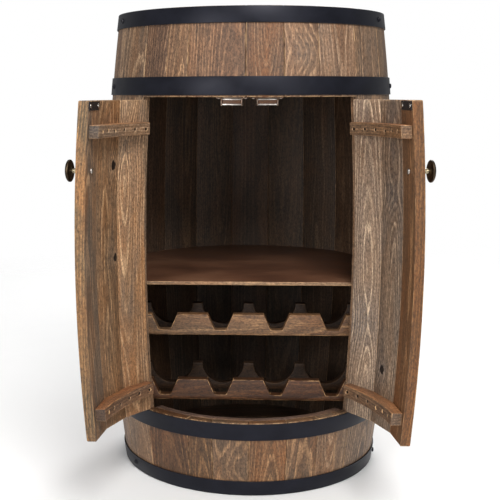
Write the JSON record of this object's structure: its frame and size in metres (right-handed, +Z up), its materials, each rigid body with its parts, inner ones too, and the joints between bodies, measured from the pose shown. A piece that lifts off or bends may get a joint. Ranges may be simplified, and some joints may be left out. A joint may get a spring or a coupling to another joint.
{
  "type": "barrel wine cabinet",
  "caption": "Stave-built barrel cabinet with hoops, double curved doors, an inner shelf and a tiered rack of notched slats for lying bottles.",
  "frame": {"origin": "on the barrel's axis, on the underside of the bottom board, level with the floor", "axes": "+Z up along the barrel's axis; the doors face -Y; +X is to the right of a person facing the doors"},
  "size_m": [0.5456, 0.6228, 0.8],
  "materials": {
    "stave_wood": "waxed, open grain",
    "door_wood": "waxed, open grain, weathered",
    "batten_wood": "oiled",
    "board_wood": "waxed",
    "shelf_wood": "stained, satin",
    "rack_wood": "oiled",
    "black_steel": "black satin",
    "bronze": "aged dark bronze",
    "brass_stem": "worn bright",
    "zinc_steel": "zinc plated",
    "catch_plastic": "brown moulded"
  },
  "bodies": {
    "cabinet": {"stave_01": "stave_wood", "stave_02": "stave_wood", "stave_03": "stave_wood", "stave_04": "stave_wood", "stave_05": "stave_wood", "stave_06": "stave_wood", "stave_07": "stave_wood", "stave_08": "stave_wood", "stave_09": "stave_wood", "stave_10": "stave_wood", "stave_11": "stave_wood", "stave_12": "stave_wood", "stave_13": "stave_wood", "stave_14": "stave_wood", "stave_15": "stave_wood", "bottom_front_panel": "stave_wood", "top_front_panel": "stave_wood", "bottom_front_strip": "batten_wood", "top_front_strip": "batten_wood", "hoop_bottom": "black_steel", "hoop_lower": "black_steel", "hoop_upper": "black_steel", "hoop_top": "black_steel", "bottom_board": "board_wood", "top_board": "board_wood", "shelf": "shelf_wood", "lower_front_slat": "rack_wood", "upper_front_slat": "rack_wood", "lower_back_slat": "rack_wood", "upper_back_slat": "rack_wood", "left_lower_hinge_body_leaf": "black_steel", "left_lower_hinge_pin": "black_steel", "left_upper_hinge_body_leaf": "black_steel", "left_upper_hinge_pin": "black_steel", "right_lower_hinge_body_leaf": "black_steel", "right_lower_hinge_pin": "black_steel", "right_upper_hinge_body_leaf": "black_steel", "right_upper_hinge_pin": "black_steel", "left_catch": "catch_plastic", "right_catch": "catch_plastic"},
    "left_door": {"left_door_stave_1": "door_wood", "left_door_stave_2": "door_wood", "left_door_stave_3": "door_wood", "left_door_top_batten": "batten_wood", "left_door_bottom_batten": "batten_wood", "left_lower_hinge_door_leaf": "black_steel", "left_upper_hinge_door_leaf": "black_steel", "left_knob": "bronze", "left_knob_screw": "zinc_steel", "left_strike_plate": "black_steel"},
    "right_door": {"right_door_stave_1": "door_wood", "right_door_stave_2": "door_wood", "right_door_stave_3": "door_wood", "right_door_top_batten": "batten_wood", "right_door_bottom_batten": "batten_wood", "right_lower_hinge_door_leaf": "black_steel", "right_upper_hinge_door_leaf": "black_steel", "right_knob": "bronze", "right_knob_screw": "zinc_steel", "right_strike_plate": "black_steel"}
  },
  "joints": [
    {"name": "left_door_swing", "type": "hinge", "parent": "cabinet", "child": "left_door", "pos_m": [-0.18314, -0.18314, 0.4], "axis": [0, 0, -1], "range_deg": [-90, 75]},
    {"name": "right_door_swing", "type": "hinge", "parent": "cabinet", "child": "right_door", "pos_m": [0.18314, -0.18314, 0.4], "axis": [0, 0, 1], "range_deg": [-90, 75]}
  ]
}
